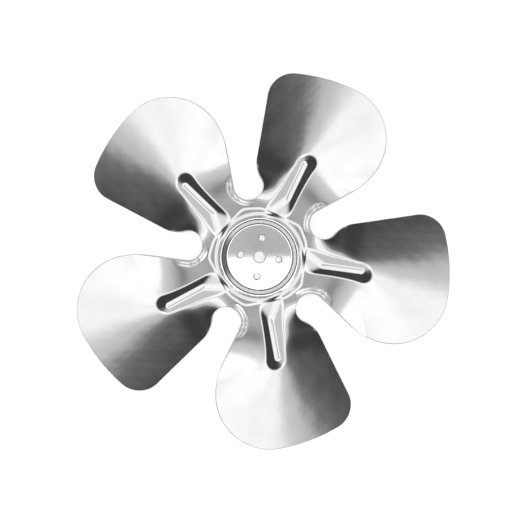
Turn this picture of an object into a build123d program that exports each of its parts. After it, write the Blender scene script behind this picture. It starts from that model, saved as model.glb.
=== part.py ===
# A pressed aluminium axial fan blade: five curved blades around a dished hub, formed from one sheet.
# Millimetres. The origin is the middle of the bore on the hub's rear seating face, and +Z runs along
# the shaft towards the front. The first blade's rib lies along +X.

import math
import os

from build123d import *

# Overall
blade_count = 5
tip_diameter = 254.0
sheet = 1.2

# Hub: a flat disc dished back inside a raised ring
bore_diameter = 8.0
bolt_circle = 26.0
bolt_hole_diameter = 4.5
bolt_count = 4
ring_inner_radius = 25.2
ring_height = 3.1
dish_run = 3.4
tight_bend = 1.0
loose_bend = 1.9

# Outside of the ring: a round collar, a narrow ledge and a step with straight sides
crest_width = 2.8
collar_run = 1.4
collar_angle = 20.0
ledge_width = 0.2
step_run = 0.8
step_angle = 22.0
side_angle = 28.0
side_offset = 2.2
side_corner_radius = 11.0

# Gap between two blades, drawn about the line midway between their ribs
gap_bulb_radius = 10.1
gap_bulb_offset = 1.15
gap_trail_offset = 3.5
gap_trail_angle = 19.8
heel_radius = 13.0
lead_corner_radius = 38.0
trail_corner_radius = 16.0

# Slope of a blade's front face across its rib, in degrees, and the length over which it sets in
lead_slope = 16.0
lead_start = 10.0
lead_rise = 61.0
trail_root_slope = 33.0
trail_tip_slope = 30.5
trail_rise = 22.0

# Bend between the two slopes: its width, and its place beside the rib until it settles behind the rib
bend_root_width = 2.5
bend_tip_width = 30.0
bend_offset = 7.0
bend_start = 16.0
bend_run = 30.0

# Stiffening rib: a groove pressed back into each blade, leaning with the blade
rib_tip_radius = 76.0
rib_floor_width = 3.4
rib_depth = 2.9
rib_wall_angle = 30.5
rib_lean = 8.0

# Clearances
web_margin = 1.5
root_margin = 1.0
reach_margin = 3.0
tip_margin = 5.0
sector_margin = 0.5

# Sizes that follow from those above
tip_radius = tip_diameter / 2
half_pitch = 180 / blade_count
disc_face = sheet
disc_radius = ring_inner_radius - dish_run
dish_wall_angle = math.degrees(math.atan2(ring_height, dish_run))
collar_top = ring_inner_radius + crest_width
collar_foot = collar_top + collar_run
ring_foot = collar_foot + ledge_width + step_run
collar_drop = collar_run * math.tan(math.radians(collar_angle))
step_drop = step_run * math.tan(math.radians(step_angle))
web_face = disc_face + ring_height - collar_drop - step_drop
root_line = ring_foot + web_margin
gap_floor = root_line / math.cos(math.radians(half_pitch)) - root_margin
gap_bulb_centre = gap_floor + gap_bulb_radius
blade_length = tip_radius - root_line
rib_wall_run = rib_depth / math.tan(math.radians(rib_wall_angle))
rib_rim_run = loose_bend * math.tan(math.radians(rib_wall_angle / 2))
rib_half_width = rib_floor_width / 2 + rib_wall_run + rib_rim_run
rib_start = root_line + rib_half_width + rib_rim_run
rib_end = rib_tip_radius - rib_half_width


def ease(x):
    """Rises from 0 to 1 as x does, level at both ends."""
    x = min(max(x, 0.0), 1.0)
    return x * x * x * (x * (6 * x - 15) + 10)


def blade_height(u, v):
    """Height of a blade's front face, u along its rib and v across it towards the trailing edge."""
    past_root = u - root_line
    out = min(max(past_root / blade_length, 0.0), 1.0)
    lead = math.tan(math.radians(lead_slope)) * ease((past_root - lead_start) / lead_rise)
    trail_angle = trail_root_slope + (trail_tip_slope - trail_root_slope) * out
    trail = math.tan(math.radians(trail_angle)) * ease(past_root / trail_rise)
    width = bend_root_width + (bend_tip_width - bend_root_width) * out * out
    centre = bend_offset * (1 - ease((past_root - bend_start) / bend_run))
    bend = math.log(math.cosh((v - centre) / width)) - math.log(math.cosh(centre / width))
    return web_face - lead * v - (trail - lead) * (v + width * bend) / 2


def blade_point(u, v, drop):
    """A point of the blade's front face, or of its rear face when drop is the sheet's thickness."""
    step = 0.01
    along = 0.0
    across = 0.0
    if u > root_line:
        along = (blade_height(u + step, v) - blade_height(u - step, v)) / (2 * step)
        across = (blade_height(u, v + step) - blade_height(u, v - step)) / (2 * step)
    normal = Vector(-along, -across, 1).normalized()
    return Vector(u, v, blade_height(u, v)) - normal * drop


def blade_form(drop):
    """Everything behind a blade's front face, or behind its rear face."""
    stations = 30
    spacing = (blade_length + tip_margin) / stations
    lead_side = [-1, -0.62, -0.42, -0.28, -0.18, -0.10, -0.03]
    trail_side = [0.04, 0.10, 0.16, 0.22, 0.30, 0.42, 0.62, 1]
    across = lead_side + trail_side
    knots = [(share + 1) / 2 for share in across]
    us = [root_line + i * spacing for i in range(stations + 1)]
    if drop > 0:
        us = [root_line - spacing] + us
    sections = []
    for u in us:
        reach = u * math.tan(math.radians(half_pitch)) + reach_margin
        points = [blade_point(u, share * reach, drop) for share in across]
        sections.append(Wire([Edge.make_spline(points, parameters=knots)]))
    face = Shell.make_loft(sections).faces()[0]
    return extrude(face, tip_radius + drop, dir=(0, 0, -1))


def rib_plane(height):
    """A plane leaning with the rib, at a height above the sheet along its own normal."""
    lean = math.radians(rib_lean)
    normal = Vector(0, math.sin(lean), math.cos(lean))
    return Plane(origin=Vector(0, 0, web_face) + normal * height, x_dir=(1, 0, 0), z_dir=normal)


def rib_punch(drop):
    """The slot with sloping walls that presses the rib, larger all round by drop."""
    floor_width = rib_floor_width + 2 * drop * math.tan(math.radians(rib_wall_angle / 2))
    floor = Pos((rib_start + rib_end) / 2, 0) * SlotCenterToCenter(rib_end - rib_start, floor_width)
    return rib_plane(-rib_depth - drop) * extrude(floor, 4 * rib_depth, taper=rib_wall_angle - 90)


def ribbed_form(drop):
    """A blade form with the rib pressed in and its rim rounded."""
    form = (blade_form(drop) - rib_punch(drop)).solids()[0]
    face = form.faces().sort_by_distance(blade_point(tip_radius, 0, drop))[0]
    return form.fillet(loose_bend - drop, face.inner_wires()[0].edges())


def blade():
    """One blade, as wide as its sector."""
    far = 2 * tip_radius
    side = far * math.tan(math.radians(half_pitch - sector_margin))
    sector = make_face(Polyline((0, 0), (far, -side), (far, side), close=True))
    front = ribbed_form(0) & extrude(sector, far, both=True)
    return (front - ribbed_form(sheet)).solids()[0]


def ring_outline(inset):
    """The ring's outer foot: sides that face the gaps, cut back by sides that face the ribs."""
    rib_side = ring_foot - inset
    gap_side = rib_side + side_offset
    turn = side_angle + half_pitch
    facing_ribs = RegularPolygon(rib_side, blade_count, major_radius=False, rotation=half_pitch)
    facing_gaps = RegularPolygon(gap_side, blade_count, major_radius=False, rotation=turn)
    outline = facing_ribs & facing_gaps
    return fillet(outline.vertices(), side_corner_radius - inset)


def hub_form(drop):
    """Everything behind the hub's front face, or behind its rear face, with the dish's bends rounded."""
    step_inset = drop * math.tan(math.radians(step_angle / 2))
    collar_inset = drop * math.tan(math.radians(collar_angle / 2))
    widen = drop * math.tan(math.radians(dish_wall_angle / 2))
    web_level = web_face - drop
    disc_level = disc_face - drop
    web = RegularPolygon(root_line + drop, blade_count, major_radius=False, rotation=half_pitch)
    step = extrude(ring_outline(step_inset), step_drop, taper=90 - step_angle)
    collar = Cone(collar_foot - collar_inset, collar_top - collar_inset, collar_drop)
    dish = Cone(disc_radius + widen, ring_inner_radius + widen, ring_height)
    form = Pos(0, 0, web_level) * extrude(web, -tip_radius)
    form += Pos(0, 0, web_level) * step
    form += Pos(0, 0, web_level + step_drop + collar_drop / 2) * collar
    form -= Pos(0, 0, disc_level + ring_height / 2) * dish
    form = form.solids()[0]
    crest = form.faces().sort_by(Axis.Z)[-1]
    form = form.fillet(loose_bend - drop, crest.inner_wires()[0].edges())
    disc = form.faces().sort_by_distance((0, 0, disc_level))[0]
    return form.fillet(tight_bend + drop, disc.edges())


def gap():
    """The opening between two blades: a round bulb at the hub and a mouth that widens outwards."""
    far = 2 * tip_radius
    lead_side = gap_bulb_radius - gap_bulb_offset
    widening = (far - gap_bulb_centre) * math.tan(math.radians(gap_trail_angle))
    bulb = Pos(gap_bulb_centre, -gap_bulb_offset) * Circle(gap_bulb_radius)
    mouth = make_face(Polyline(
        (gap_bulb_centre, lead_side),
        (far, lead_side),
        (far, -gap_trail_offset - widening),
        (gap_bulb_centre, -gap_trail_offset),
        close=True,
    ))
    opening = bulb + mouth
    near = [corner for corner in opening.vertices() if corner.X < tip_radius]
    heel = ShapeList(near).sort_by(Axis.Y)[0]
    return fillet(heel, heel_radius)


def tip_corners(outline, side):
    """The corners where blades meet the tip circle: side is 1 for trailing and -1 for leading."""
    corners = []
    for corner in outline.vertices():
        turn = math.degrees(math.atan2(corner.Y, corner.X))
        from_rib = (turn + half_pitch) % (2 * half_pitch) - half_pitch
        if math.hypot(corner.X, corner.Y) > tip_radius - 0.001 and from_rib * side > 0:
            corners.append(corner)
    return corners


def planform():
    """The whole fan's flat outline."""
    outline = Circle(tip_radius)
    opening = gap()
    for i in range(blade_count):
        outline -= Rot(0, 0, half_pitch * (2 * i + 1)) * opening
    outline = fillet(tip_corners(outline, -1), lead_corner_radius)
    return fillet(tip_corners(outline, 1), trail_corner_radius)


def fan():
    """Hub and blades as one sheet, cut to the outline and drilled."""
    body = hub_form(0) - hub_form(sheet)
    first = blade()
    for i in range(blade_count):
        body += Rot(0, 0, 2 * half_pitch * i) * first
    body &= extrude(planform(), tip_radius, both=True)
    body -= Cylinder(bore_diameter / 2, 4 * sheet)
    for spot in PolarLocations(bolt_circle / 2, bolt_count):
        body -= spot * Cylinder(bolt_hole_diameter / 2, 4 * sheet)
    return body.solids()[0]


os.makedirs("parts", exist_ok=True)
fan_blade = fan()
fan_blade.label = "fan_blade"
export_step(fan_blade, "parts/fan_blade.step")
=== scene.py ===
import math

import bpy
import numpy as np
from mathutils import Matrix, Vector
from mathutils.geometry import delaunay_2d_cdt
from mathutils.kdtree import KDTree


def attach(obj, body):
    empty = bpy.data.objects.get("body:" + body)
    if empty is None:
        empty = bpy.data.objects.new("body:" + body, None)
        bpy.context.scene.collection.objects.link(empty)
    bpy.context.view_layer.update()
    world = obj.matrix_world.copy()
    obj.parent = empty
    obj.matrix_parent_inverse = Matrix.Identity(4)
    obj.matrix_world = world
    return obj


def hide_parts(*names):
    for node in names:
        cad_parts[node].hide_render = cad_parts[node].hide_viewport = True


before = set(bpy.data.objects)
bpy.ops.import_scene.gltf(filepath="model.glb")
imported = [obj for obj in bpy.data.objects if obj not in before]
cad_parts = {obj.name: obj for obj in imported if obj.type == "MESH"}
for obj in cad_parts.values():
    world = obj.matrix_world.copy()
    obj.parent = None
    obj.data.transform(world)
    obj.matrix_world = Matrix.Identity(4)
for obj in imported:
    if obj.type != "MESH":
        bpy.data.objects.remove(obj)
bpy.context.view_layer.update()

# Overall sizes of the fan, in millimetres and degrees, as are those of its sheet below
BLADES = 5
TIP_RADIUS = 127.0
SHEET = 1.2

# Hub: a flat disc dished back inside a raised ring
BORE_RADIUS = 4.0
BOLT_CIRCLE_RADIUS = 13.0
BOLT_HOLE_RADIUS = 2.25
BOLTS = 4
RING_INNER_RADIUS = 25.2
RING_HEIGHT = 3.1
DISH_RUN = 3.4

# Outside of the ring: a round collar, a narrow ledge and a step with straight sides
CREST_WIDTH = 2.8
COLLAR_RUN = 1.4
COLLAR_ANGLE = 20.0
LEDGE_WIDTH = 0.2
STEP_RUN = 0.8
STEP_ANGLE = 22.0
SIDE_ANGLE = 28.0
SIDE_OFFSET = 2.2

# Gap between two blades, drawn about the line midway between their ribs
GAP_BULB_RADIUS = 10.1
GAP_BULB_OFFSET = 1.15
GAP_TRAIL_OFFSET = 3.5
GAP_TRAIL_ANGLE = 19.8
HEEL_RADIUS = 20.0
LEAD_CORNER_RADIUS = 38.0
TRAIL_CORNER_RADIUS = 16.0

# Slope of a blade across its rib, and the length over which it sets in
LEAD_SLOPE = 14.0
LEAD_START = 7.0
LEAD_RISE = 62.0
TRAIL_ROOT_SLOPE = 28.2
TRAIL_TIP_SLOPE = 26.6
TRAIL_RISE = 22.0

# Bend between the two slopes: two tight bends beside the rib, which join and widen behind its tip
BEND_ROOT_WIDTH = 1.4
BEND_TIP_WIDTH = 30.0
BEND_OFFSET = 6.5
BEND_SPREAD = 3.0
BEND_START = 16.0
BEND_RUN = 30.0

# Stiffening rib: a leaning groove that runs out into the ring's foot
RIB_HUB_RADIUS = 29.5
RIB_TIP_RADIUS = 76.0
RIB_FLOOR_WIDTH = 3.4
RIB_DEPTH = 3.3
RIB_WALL_ANGLE = 30.5
RIB_LEAN = 8.0
RIB_RUN_OUT = 2.0
RIB_RIM_BEND = 1.9
RIB_PASSES = 40

# Clearances
WEB_MARGIN = 1.5
ROOT_MARGIN = 1.0

# Softness of the bends in the height field
DISC_BLEND = 0.5
CREST_BLEND = 0.5
STEP_BLEND = 0.2
CORNER_BLEND = 2.0
RIB_BLEND = 0.6
RIB_FLOOR_BLEND = 0.5
RUN_OUT_BLEND = 3.0

# Ripples left by the press: their lengths, steepest slope, directions and reach
WAVES = 9
SHORT_WAVE = 3.5
LONG_WAVE_RATIO = 10.0
WAVE_SLOPE = 0.16
WAVE_TURN = math.pi * (3 - math.sqrt(5))
WAVE_PHASE = 2
WEB_WAVE_SHARE = 0.4
WAVE_START = 52.0
WAVE_RUN = 25.0

# Bead pressed beside each gap's bulb, on the side of the leading edge
BEAD_HEIGHT = 0.26
BEAD_WIDTH = 1.1
BEAD_INSET = 2.6
BEAD_REACH = 0.3

# Mesh: rounding of the cut edges, spacing of the points, and where the fine ones reach
EDGE_ROUND = 0.35
RIM_SHARES = (0.38, 0.71, 1.0)
EDGE_STEP = 0.9
LEAST_ARC_POINTS = 6
LEAST_LINE_POINTS = 2
FINE_STEP = 0.62
COARSE_STEP = 1.7
RIM_CLEARANCE = 0.6 * FINE_STEP
FINE_INSIDE_DISC = 2.0
FINE_PAST_WEB = 1.0
FINE_PAST_RIB = 3.0
FINE_BESIDE_RIB = 5.0
SLOPE_STEP = 0.02
MERGE_DISTANCE = 1e-6
MM = 0.001

# Aluminium: tints, roughness and grain
SMUDGED_TINT = (0.86, 0.86, 0.865, 1)
CLEAN_TINT = (0.93, 0.93, 0.935, 1)
# Near-black tint of the cut edges, a painted shade along the rims
PAINTED_SHADE_CUT_TINT = (0.12, 0.12, 0.122, 1)
SMUDGE_SCALE = 55.0
SMUDGE_DETAIL = 5.0
SMUDGE_FINENESS = 0.6
SMUDGE_STOPS = (0.3, 0.7)
SHEET_ROUGHNESS = (0.05, 0.12)
UNPRESSED_ROUGHNESS = 0.02
CUT_ROUGHNESS = 0.5
GRAIN_STRETCH = (60.0, 900.0, 60.0)
GRAIN_SCALE = 2.0
GRAIN_DETAIL = 3.0
GRAIN_STRENGTH = 0.05
GRAIN_HEIGHT = 0.0002

# Studio dome: its level at angles from straight up, in degrees
DOME_LEVELS = [
    (0, 0.24), (1.5, 0.25), (2.8, 0.4), (4.5, 0.46), (7, 0.56), (10, 0.62),
    (14.5, 0.72), (17.5, 1.1), (24, 1.1), (29, 0.98), (33, 1.02), (36, 1.0),
    (40, 0.8), (43, 0.64), (47.5, 0.56), (49.5, 0.42), (51.3, 0.28), (52.8, 0.18),
    (55.2, 0.13), (57.2, 0.095), (58.7, 0.067), (60.2, 0.05), (65, 0.045), (90, 0.05),
]
DOME_EDGE = 90

# Low band of the dome, darker as the cosine to the picture's right grows, and a white horizon
LOW_BAND = (79.5, 82)
LOW_BAND_COSINES = (0.7, 0.98)
LOW_BAND_LEVELS = (0.8, 0.16)
HORIZON = (85, 88)
HORIZON_LEVEL = 1.0

# Floor, lamps and camera, in metres and degrees
FLOOR_HALF = 20.0
FLOOR_TINT = (0.86, 0.86, 0.86, 1)
FLOOR_CLEARANCE = 0.0001
TOP_LAMP_STRENGTH = 2.4
TOP_LAMP_ANGLE = 4
TOP_LAMP_HEIGHT = 1.0
CARD_WIDTH = 0.052
CARD_DEPTH = 0.026
CARD_HEIGHT = 0.1
LOW_CARD_LEVEL = 1.1
HIGH_CARD_LEVEL = 0.16
CAMERA_HEIGHT = 0.6026
CAMERA_ROLL = 7.8
CAMERA_LENS = 63.62
CAMERA_SENSOR = 36.0
PICTURE_SIZE = 512
SHIFT_ACROSS = -3.5
SHIFT_UP = 1.0

# Sizes that follow from those above
PITCH = 2 * math.pi / BLADES
HALF_PITCH = PITCH / 2
DISC_FACE = SHEET
DISC_RADIUS = RING_INNER_RADIUS - DISH_RUN
COLLAR_TOP = RING_INNER_RADIUS + CREST_WIDTH
COLLAR_FOOT = COLLAR_TOP + COLLAR_RUN
COLLAR_DROP = COLLAR_RUN * math.tan(math.radians(COLLAR_ANGLE))
STEP_DROP = STEP_RUN * math.tan(math.radians(STEP_ANGLE))
RING_FOOT = COLLAR_FOOT + LEDGE_WIDTH + STEP_RUN
WEB_FACE = DISC_FACE + RING_HEIGHT - COLLAR_DROP - STEP_DROP
ROOT_LINE = RING_FOOT + WEB_MARGIN
GAP_FLOOR = ROOT_LINE / math.cos(HALF_PITCH) - ROOT_MARGIN
GAP_BULB_CENTRE = GAP_FLOOR + GAP_BULB_RADIUS
BLADE_LENGTH = TIP_RADIUS - ROOT_LINE
RIB_WALL_RUN = RIB_DEPTH / math.tan(math.radians(RIB_WALL_ANGLE))
RIB_RIM_RUN = RIB_RIM_BEND * math.tan(math.radians(RIB_WALL_ANGLE / 2))
RIB_HALF_WIDTH = RIB_FLOOR_WIDTH / 2 + RIB_WALL_RUN + RIB_RIM_RUN
RIB_START = RIB_HUB_RADIUS + RIB_RUN_OUT * RIB_WALL_RUN
RIB_END = RIB_TIP_RADIUS - RIB_HALF_WIDTH


def soft_min(a, b, blend):
    """The lower of two heights, with the corner between them rounded."""
    h = np.maximum(blend - np.abs(a - b), 0) / blend
    return np.minimum(a, b) - h * h * blend / 4


def soft_max(a, b, blend):
    """The higher of two heights, with the corner between them rounded."""
    return -soft_min(-a, -b, blend)


def ease(x):
    """Rises from 0 to 1 as x does, level at both ends."""
    x = np.clip(x, 0, 1)
    return x * x * x * (x * (6 * x - 15) + 10)


def along_and_across(x, y, turn):
    """Points seen along a direction from the hub and across it."""
    return x * np.cos(turn) + y * np.sin(turn), y * np.cos(turn) - x * np.sin(turn)


def to_blade(x, y):
    """Points seen from the nearest blade: u along its rib, v across towards the trailing edge."""
    return along_and_across(x, y, np.round(np.arctan2(y, x) / PITCH) * PITCH)


def blade_height(u, v):
    """The blade's front face without its rib. Its slopes are set by how the real blade shades, and
    are a few degrees less than the solid's."""
    past_root = u - ROOT_LINE
    out = np.clip(past_root / BLADE_LENGTH, 0, 1)
    lead = math.tan(math.radians(LEAD_SLOPE)) * ease((past_root - LEAD_START) / LEAD_RISE)
    trail_angle = TRAIL_ROOT_SLOPE + (TRAIL_TIP_SLOPE - TRAIL_ROOT_SLOPE) * out
    trail = np.tan(np.radians(trail_angle)) * ease(past_root / TRAIL_RISE)
    width = BEND_ROOT_WIDTH + (BEND_TIP_WIDTH - BEND_ROOT_WIDTH) * out * out
    beside_rib = 1 - ease((past_root - BEND_START) / BEND_RUN)
    bend = np.zeros_like(u)
    for offset in (BEND_OFFSET - BEND_SPREAD, BEND_OFFSET + BEND_SPREAD):
        centre = offset * beside_rib
        bend += np.log(np.cosh((v - centre) / width)) - np.log(np.cosh(centre / width))
    return WEB_FACE - lead * v - (trail - lead) * (v + width * bend / 2) / 2


def rib_height(u, v):
    """The leaning punch that presses the rib: a floor with sloping walls. Because it leans, the
    place across it depends on the height there, so both are found together, pass by pass."""
    lean = math.radians(RIB_LEAN)
    rise = math.tan(math.radians(RIB_WALL_ANGLE))
    past_end = np.maximum(u - RIB_END, 0)
    run_out = (RIB_START - u) / RIB_RUN_OUT
    h = np.zeros_like(u)
    for _ in range(RIB_PASSES):
        across = (v - h * math.sin(lean)) / math.cos(lean)
        out = np.hypot(past_end, across) - RIB_FLOOR_WIDTH / 2
        out = soft_max(out, run_out, RUN_OUT_BLEND)
        h = soft_max(rise * out, 0, RIB_FLOOR_BLEND) - RIB_DEPTH
    return WEB_FACE - across * math.sin(lean) + h * math.cos(lean)


def ring_inset(x, y):
    """Distance inside the ring's outer foot, with sides that face the ribs and sides between."""
    sides = ((0, RING_FOOT), (math.radians(SIDE_ANGLE), RING_FOOT + SIDE_OFFSET))
    inset = np.full_like(x, TIP_RADIUS)
    for i in range(BLADES):
        for turn, side in sides:
            along, _ = along_and_across(x, y, i * PITCH + turn)
            inset = soft_min(inset, side - along, CORNER_BLEND)
    return inset


def waviness(x, y):
    """Slight unevenness of the pressed sheet, as crossed ripples that fade at the ring."""
    height = np.zeros_like(x)
    for i in range(WAVES):
        length = SHORT_WAVE * LONG_WAVE_RATIO ** (i / (WAVES - 1))
        along, _ = along_and_across(x, y, i * WAVE_TURN)
        swing = np.sin(2 * math.pi * along / length + i * WAVE_PHASE)
        height += math.tan(math.radians(WAVE_SLOPE)) * length / (2 * math.pi) * swing
    r = np.hypot(x, y)
    web = ease((r - COLLAR_TOP) / (GAP_FLOOR - COLLAR_TOP))
    blade = ease((r - WAVE_START) / WAVE_RUN)
    return height * (WEB_WAVE_SHARE * web + (1 - WEB_WAVE_SHARE) * blade)


def bead_height(x, y):
    """The shallow bead that follows a gap's bulb on the side of the leading edge."""
    gap = (np.floor(np.arctan2(y, x) / PITCH) + 0.5) * PITCH
    along, across = along_and_across(x, y, gap)
    along = along - GAP_BULB_CENTRE
    across = across + GAP_BULB_OFFSET
    away = np.hypot(along, across) - GAP_BULB_RADIUS
    side = ease(across / GAP_BULB_RADIUS + BEAD_REACH) * ease(1 - along / GAP_BULB_RADIUS)
    return BEAD_HEIGHT * side * np.exp(-((away - BEAD_INSET) / BEAD_WIDTH) ** 2)


def shelf(slope, top):
    """A slope that levels out at its foot and at its top, with both bends rounded."""
    return soft_max(soft_min(slope, top, STEP_BLEND), 0, STEP_BLEND)


def front_height(x, y):
    """Height of the whole front face."""
    r = np.hypot(x, y)
    u, v = to_blade(x, y)
    sheet = soft_min(blade_height(u, v), rib_height(u, v), RIB_BLEND)
    sheet = sheet + waviness(x, y) + bead_height(x, y)
    collar = shelf((COLLAR_FOOT - r) * math.tan(math.radians(COLLAR_ANGLE)), COLLAR_DROP)
    step = shelf(ring_inset(x, y) * math.tan(math.radians(STEP_ANGLE)), STEP_DROP)
    dish = soft_max((r - DISC_RADIUS) * RING_HEIGHT / DISH_RUN, 0, DISC_BLEND)
    return soft_min(sheet + collar + step, DISC_FACE + dish, CREST_BLEND)


def front_normal(x, y):
    """Unit normals of the front face."""
    d = SLOPE_STEP
    along = (front_height(x + d, y) - front_height(x - d, y)) / (2 * d)
    across = (front_height(x, y + d) - front_height(x, y - d)) / (2 * d)
    normal = np.stack([-along, -across, np.ones_like(x)], axis=1)
    return normal / np.linalg.norm(normal, axis=1, keepdims=True)


def arc(centre, radius, start, end, outward):
    """Points along an arc with the direction that leaves the sheet; angles in radians."""
    count = max(int(abs(end - start) * radius / EDGE_STEP), LEAST_ARC_POINTS)
    turn = np.linspace(start, end, count, endpoint=False)
    normal = np.stack([np.cos(turn), np.sin(turn)], axis=1)
    return np.asarray(centre) + radius * normal, outward * normal


def straight(start, end, normal):
    """Points along a line with the direction that leaves the sheet."""
    start = np.asarray(start)
    end = np.asarray(end)
    count = max(int(np.linalg.norm(end - start) / EDGE_STEP), LEAST_LINE_POINTS)
    share = np.linspace(0, 1, count, endpoint=False)[:, None]
    return start + share * (end - start), np.tile(np.asarray(normal), (count, 1))


def angle_of(point):
    """Direction of a point from the origin, in radians."""
    return math.atan2(point[1], point[0])


def gap_outline():
    """The outline from one blade's trailing tip round the gap to the next blade's leading tip,
    with the directions of the two corners. It is drawn in the gap's own frame, whose first axis
    lies midway between the two ribs. Only the heel is rounder than the solid's."""
    slope = math.radians(GAP_TRAIL_ANGLE)
    along = np.array([math.cos(slope), -math.sin(slope)])
    inward = np.array([-math.sin(slope), -math.cos(slope)])
    bulb = np.array([GAP_BULB_CENTRE, -GAP_BULB_OFFSET])
    start = np.array([GAP_BULB_CENTRE, -GAP_TRAIL_OFFSET])
    lead_side = GAP_BULB_RADIUS - GAP_BULB_OFFSET

    def on_line(offset, about, reach):
        """Centre of a fillet on the trailing edge, at a distance from another centre."""
        base = start + offset * inward - about
        half = base @ along
        ahead = math.sqrt(half * half - base @ base + reach * reach) - half
        return start + offset * inward + along * ahead

    trail = on_line(TRAIL_CORNER_RADIUS, np.zeros(2), TIP_RADIUS - TRAIL_CORNER_RADIUS)
    heel = on_line(HEEL_RADIUS, bulb, GAP_BULB_RADIUS + HEEL_RADIUS)
    lead_y = lead_side + LEAD_CORNER_RADIUS
    lead = np.array([math.sqrt((TIP_RADIUS - LEAD_CORNER_RADIUS) ** 2 - lead_y ** 2), lead_y])
    to_heel = angle_of(heel - bulb)
    pieces = [
        arc(trail, TRAIL_CORNER_RADIUS, angle_of(trail), angle_of(-inward), 1),
        straight(trail - TRAIL_CORNER_RADIUS * inward, heel - HEEL_RADIUS * inward, -inward),
        arc(heel, HEEL_RADIUS, angle_of(-inward), to_heel + math.pi, 1),
        arc(bulb, GAP_BULB_RADIUS, to_heel + 2 * math.pi, math.pi / 2, -1),
        straight((GAP_BULB_CENTRE, lead_side), (lead[0], lead_side), (0, -1)),
        arc(lead, LEAD_CORNER_RADIUS, -math.pi / 2, angle_of(lead), 1),
    ]
    return pieces, angle_of(lead), angle_of(trail)


def outline():
    """The whole outer outline, counter-clockwise, with outward directions."""
    pieces, lead_turn, trail_turn = gap_outline()
    points = []
    normals = []
    for i in range(BLADES):
        turn = HALF_PITCH + i * PITCH
        spin = np.array([[math.cos(turn), math.sin(turn)], [-math.sin(turn), math.cos(turn)]])
        for piece, normal in pieces:
            points.append(piece @ spin)
            normals.append(normal @ spin)
        tip, normal = arc((0, 0), TIP_RADIUS, turn + lead_turn, turn + PITCH + trail_turn, 1)
        points.append(tip)
        normals.append(normal)
    return np.concatenate(points), np.concatenate(normals)


def hole(x, y, radius):
    """A drilled hole's rim, clockwise, with directions that leave the sheet."""
    return arc((x, y), radius, 2 * math.pi, 0, -1)


def all_loops():
    """Every rim of the sheet."""
    loops = [outline(), hole(0, 0, BORE_RADIUS)]
    for i in range(BOLTS):
        turn = 2 * math.pi * i / BOLTS
        x = BOLT_CIRCLE_RADIUS * math.cos(turn)
        y = BOLT_CIRCLE_RADIUS * math.sin(turn)
        loops.append(hole(x, y, BOLT_HOLE_RADIUS))
    return loops


def inside(points, loops):
    """Whether points lie on the sheet."""
    hit = np.zeros(len(points), bool)
    x = points[:, 0]
    y = points[:, 1]
    for loop in loops:
        for a, b in zip(loop, np.roll(loop, -1, axis=0)):
            if a[1] == b[1]:
                continue
            cross = (a[1] > y) != (b[1] > y)
            hit ^= cross & (x < a[0] + (y - a[1]) * (b[0] - a[0]) / (b[1] - a[1]))
    return hit


def grid(step):
    """A triangular grid over the whole fan."""
    rows = np.arange(-TIP_RADIUS, TIP_RADIUS, step * math.sqrt(3) / 2)
    cols = np.arange(-TIP_RADIUS, TIP_RADIUS, step)
    x, y = np.meshgrid(cols, rows)
    x = x + step / 2 * (np.arange(len(rows)) % 2)[:, None]
    points = np.stack([x.ravel(), y.ravel()], axis=1)
    return points[np.hypot(points[:, 0], points[:, 1]) < TIP_RADIUS]


def wants_fine(points):
    """Where the sheet bends tightly: the ring and the ribs."""
    r = np.hypot(points[:, 0], points[:, 1])
    u, v = to_blade(points[:, 0], points[:, 1])
    ring = (r > DISC_RADIUS - FINE_INSIDE_DISC) & (r < GAP_FLOOR + FINE_PAST_WEB)
    along_rib = (u > ROOT_LINE) & (u < RIB_TIP_RADIUS + FINE_PAST_RIB)
    return ring | along_rib & (np.abs(v) < RIB_HALF_WIDTH + FINE_BESIDE_RIB)


def spaced_points(rims):
    """Points over the sheet, closer together where it bends tightly and clear of the rims."""
    fine = grid(FINE_STEP)
    coarse = grid(COARSE_STEP)
    points = np.concatenate([fine[wants_fine(fine)], coarse[~wants_fine(coarse)]])
    points = points[inside(points, rims)]
    tree = KDTree(sum(len(rim) for rim in rims))
    for i, point in enumerate(np.concatenate(rims)):
        tree.insert((point[0], point[1], 0), i)
    tree.balance()
    keep = [tree.find((p[0], p[1], 0))[2] > RIM_CLEARANCE for p in points]
    return points[np.array(keep)]


def triangulated(rims):
    """Flat points of the sheet, the rims' own first, and the triangles between them."""
    flat = np.concatenate(rims + [spaced_points(rims)])
    edges = []
    start = 0
    for rim in rims:
        edges += [(start + i, start + (i + 1) % len(rim)) for i in range(len(rim))]
        start += len(rim)
    result = delaunay_2d_cdt([Vector(p) for p in flat], edges, [], 0, MERGE_DISTANCE)
    flat = np.array([tuple(p) for p in result[0]])
    triangles = np.array(result[2])
    return flat, triangles[inside(flat[triangles].mean(axis=1), rims)]


def rounded_rim(front, normal, outward):
    """Rows of points round a cut edge, from the front face to the rear one, each with its normals
    and with how far it has turned from a face into the cut."""
    side = np.column_stack([outward, np.zeros(len(outward))])
    side -= normal * np.sum(side * normal, axis=1, keepdims=True)
    side /= np.linalg.norm(side, axis=1, keepdims=True)
    profile = []
    for share in RIM_SHARES:
        lean = math.cos(math.asin(share))
        profile.append((share, lean, EDGE_ROUND * (1 - lean)))
    profile += [(share, -lean, SHEET - depth) for share, lean, depth in reversed(profile)]
    rows = []
    for share, lean, depth in profile:
        place = front + EDGE_ROUND * share * side - depth * normal
        rows.append((place, share * side + lean * normal, share))
    return rows


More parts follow.
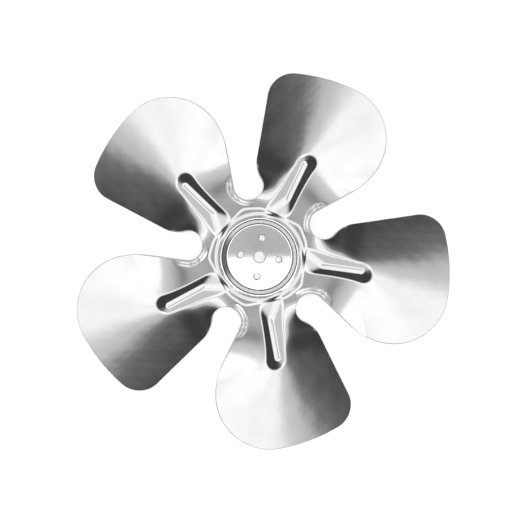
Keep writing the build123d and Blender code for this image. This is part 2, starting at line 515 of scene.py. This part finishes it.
def sheet_mesh(name):
    """The fan's mesh: front face, rear face and rounded rims, shaded by the height field."""
    loops = all_loops()
    flat, triangles = triangulated([points - EDGE_ROUND * outward for points, outward in loops])
    count = len(flat)
    normal = front_normal(flat[:, 0], flat[:, 1])
    front = np.column_stack([flat, front_height(flat[:, 0], flat[:, 1])])
    places = [front, front - SHEET * normal]
    shades = [normal, -normal]
    cut = [np.zeros(2 * count)]
    faces = triangles.tolist() + (triangles[:, ::-1] + count).tolist()
    total = 2 * count
    start = 0
    for points, outward in loops:
        size = len(points)
        rim = np.arange(start, start + size)
        rows = [rim]
        for place, shade, share in rounded_rim(front[rim], normal[rim], outward):
            places.append(place)
            shades.append(shade)
            cut.append(np.full(size, share))
            rows.append(np.arange(total, total + size))
            total += size
        rows.append(rim + count)
        for upper, lower in zip(rows, rows[1:]):
            strip = [upper, lower, np.roll(lower, -1), np.roll(upper, -1)]
            faces += np.stack(strip, axis=1).tolist()
        start += size
    unpressed = np.zeros(total)
    unpressed[:2 * count] = np.tile(np.hypot(flat[:, 0], flat[:, 1]) < DISC_RADIUS, 2)
    mesh = bpy.data.meshes.new(name)
    mesh.from_pydata((np.concatenate(places) * MM).tolist(), [], faces)
    mesh.polygons.foreach_set("use_smooth", [True] * len(mesh.polygons))
    mesh.normals_split_custom_set_from_vertices(np.concatenate(shades).tolist())
    for key, values in (("cut_edge", np.concatenate(cut)), ("unpressed", unpressed)):
        mesh.attributes.new(key, "FLOAT", "POINT").data.foreach_set("value", values)
    return mesh


def node(tree, kind, inputs=None, **settings):
    """Adds a shader node with its settings, and sets or links its inputs by name or number."""
    made = tree.nodes.new(kind)
    for key, value in settings.items():
        setattr(made, key, value)
    for key, value in (inputs or {}).items():
        if isinstance(value, bpy.types.NodeSocket):
            tree.links.new(value, made.inputs[key])
        else:
            made.inputs[key].default_value = value
    return made


def attribute(tree, name):
    """A value stored on the mesh's points."""
    return node(tree, "ShaderNodeAttribute", attribute_name=name).outputs["Fac"]


def mixed(tree, share, first, second, data_type="FLOAT"):
    """One value or another by share."""
    inputs = {"Factor": share, "A": first, "B": second}
    return node(tree, "ShaderNodeMix", inputs, data_type=data_type).outputs["Result"]


def eased(tree, value, span, levels):
    """A value eased from one range into another."""
    inputs = {
        "Value": value,
        "From Min": span[0],
        "From Max": span[1],
        "To Min": levels[0],
        "To Max": levels[1],
    }
    made = node(tree, "ShaderNodeMapRange", inputs, interpolation_type="SMOOTHSTEP")
    return made.outputs["Result"]


def aluminium():
    """Bright rolled aluminium with faint grain and smudges, duller on the disc, rougher where cut,
    and painted near-black on the cut edges as shade.
    """
    material = bpy.data.materials.new("bright_aluminium")
    material.use_nodes = True
    tree = material.node_tree
    shader = tree.nodes["Principled BSDF"]
    shader.inputs["Metallic"].default_value = 1.0
    place = tree.nodes.new("ShaderNodeTexCoord").outputs["Object"]
    cut = attribute(tree, "cut_edge")
    inputs = {
        "Vector": place,
        "Scale": SMUDGE_SCALE,
        "Detail": SMUDGE_DETAIL,
        "Roughness": SMUDGE_FINENESS,
    }
    smudge = node(tree, "ShaderNodeTexNoise", inputs).outputs["Fac"]

    tint = node(tree, "ShaderNodeValToRGB", {"Fac": smudge})
    stops = zip(tint.color_ramp.elements, SMUDGE_STOPS, (SMUDGED_TINT, CLEAN_TINT))
    for element, position, colour in stops:
        element.position = position
        element.color = colour
    # The cut edges take the near-black tint, a painted shade along the rims
    colour = mixed(tree, cut, tint.outputs["Color"], PAINTED_SHADE_CUT_TINT, "RGBA")
    tree.links.new(colour, shader.inputs["Base Color"])

    inputs = {"Value": smudge, "To Min": SHEET_ROUGHNESS[0], "To Max": SHEET_ROUGHNESS[1]}
    rough = node(tree, "ShaderNodeMapRange", inputs).outputs["Result"]
    inputs = {0: attribute(tree, "unpressed"), 1: UNPRESSED_ROUGHNESS, 2: rough}
    duller = node(tree, "ShaderNodeMath", inputs, operation="MULTIPLY_ADD").outputs["Value"]
    tree.links.new(mixed(tree, cut, duller, CUT_ROUGHNESS), shader.inputs["Roughness"])

    inputs = {"Vector": place, "Scale": GRAIN_STRETCH}
    stretch = node(tree, "ShaderNodeMapping", inputs).outputs["Vector"]
    inputs = {"Vector": stretch, "Scale": GRAIN_SCALE, "Detail": GRAIN_DETAIL}
    grain = node(tree, "ShaderNodeTexNoise", inputs).outputs["Fac"]
    inputs = {"Height": grain, "Strength": GRAIN_STRENGTH, "Distance": GRAIN_HEIGHT}
    bump = node(tree, "ShaderNodeBump", inputs).outputs["Normal"]
    tree.links.new(bump, shader.inputs["Normal"])
    return material


def dome():
    """A soft studio dome: grey round the lens, bright about it, dark lower down, and a low band
    and a white horizon below that."""
    world = bpy.data.worlds.new("studio")
    bpy.context.scene.world = world
    world.use_nodes = True
    tree = world.node_tree
    ray = tree.nodes.new("ShaderNodeTexCoord").outputs["Generated"]
    upward = node(tree, "ShaderNodeSeparateXYZ", {"Vector": ray}).outputs["Z"]
    polar = node(tree, "ShaderNodeMath", {0: upward}, operation="ARCCOSINE").outputs["Value"]
    inputs = {0: polar, 1: math.radians(DOME_EDGE)}
    share = node(tree, "ShaderNodeMath", inputs, operation="DIVIDE").outputs["Value"]
    ramp = node(tree, "ShaderNodeValToRGB", {"Fac": share})
    stops = ramp.color_ramp.elements
    while len(stops) < len(DOME_LEVELS):
        stops.new(0.5)
    for stop, (angle, level) in zip(stops, DOME_LEVELS):
        stop.position = angle / DOME_EDGE
        stop.color = (level, level, level, 1)

    turn = math.radians(CAMERA_ROLL)
    inputs = {0: ray, 1: (math.cos(turn), math.sin(turn), 0)}
    rightward = node(tree, "ShaderNodeVectorMath", inputs, operation="DOT_PRODUCT").outputs["Value"]
    low_band = eased(tree, rightward, LOW_BAND_COSINES, LOW_BAND_LEVELS)
    in_band = eased(tree, polar, [math.radians(angle) for angle in LOW_BAND], (0, 1))
    in_horizon = eased(tree, polar, [math.radians(angle) for angle in HORIZON], (0, 1))
    level = mixed(tree, in_band, ramp.outputs["Color"], low_band)
    level = mixed(tree, in_horizon, level, HORIZON_LEVEL)
    tree.links.new(level, tree.nodes["Background"].inputs["Color"])


def pale_floor(level):
    """A plain pale floor that looks white and still takes the object's shadow."""
    corners = [(-1, -1), (1, -1), (1, 1), (-1, 1)]
    mesh = bpy.data.meshes.new("floor")
    mesh.from_pydata([(x * FLOOR_HALF, y * FLOOR_HALF, level) for x, y in corners], [], [range(4)])
    floor = bpy.data.objects.new("floor", mesh)
    bpy.context.collection.objects.link(floor)
    material = bpy.data.materials.new("floor")
    material.use_nodes = True
    tree = material.node_tree
    tree.nodes.remove(tree.nodes["Principled BSDF"])
    paint = node(tree, "ShaderNodeBsdfDiffuse", {"Color": FLOOR_TINT}).outputs["BSDF"]
    tree.links.new(paint, tree.nodes["Material Output"].inputs["Surface"])
    mesh.materials.append(material)


def top_lamp():
    """A lamp straight above that lights the floor and throws the object's shadow on it."""
    data = bpy.data.lights.new("top_lamp", "SUN")
    data.energy = TOP_LAMP_STRENGTH
    data.angle = math.radians(TOP_LAMP_ANGLE)
    lamp = bpy.data.objects.new("top_lamp", data)
    lamp.location = (0, 0, TOP_LAMP_HEIGHT)
    lamp.visible_glossy = False
    bpy.context.collection.objects.link(lamp)


def card_lamp(name, level, side):
    """A small soft card above half of the hub's disc: side is -1 for the half that is lower in
    the picture and 1 for the upper one."""
    data = bpy.data.lights.new(name, "AREA")
    data.shape = "RECTANGLE"
    data.size = CARD_WIDTH
    data.size_y = CARD_DEPTH
    data.energy = level * math.pi * CARD_WIDTH * CARD_DEPTH
    lamp = bpy.data.objects.new(name, data)
    turn = math.radians(CAMERA_ROLL)
    offset = side * CARD_DEPTH / 2
    lamp.location = (-offset * math.sin(turn), offset * math.cos(turn), CARD_HEIGHT)
    lamp.rotation_euler = (0, 0, turn)
    lamp.visible_camera = False
    bpy.context.collection.objects.link(lamp)


def camera():
    """Straight above the hub, as in the photograph."""
    data = bpy.data.cameras.new("camera")
    data.sensor_width = CAMERA_SENSOR
    data.lens = CAMERA_LENS
    data.shift_x = SHIFT_ACROSS / PICTURE_SIZE
    data.shift_y = SHIFT_UP / PICTURE_SIZE
    eye = bpy.data.objects.new("camera", data)
    eye.location = (0, 0, CAMERA_HEIGHT)
    eye.rotation_euler = (0, 0, math.radians(CAMERA_ROLL))
    bpy.context.collection.objects.link(eye)
    bpy.context.scene.camera = eye


fan = bpy.data.objects.new("fan", sheet_mesh("fan"))
bpy.context.collection.objects.link(fan)
fan.data.materials.append(aluminium())
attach(fan, "root")
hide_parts("fan_blade")
dome()
pale_floor(min(v.co.z for v in fan.data.vertices) - FLOOR_CLEARANCE)
top_lamp()
card_lamp("low_card", LOW_CARD_LEVEL, -1)
card_lamp("high_card", HIGH_CARD_LEVEL, 1)
camera()
bpy.context.scene.view_settings.view_transform = "Standard"
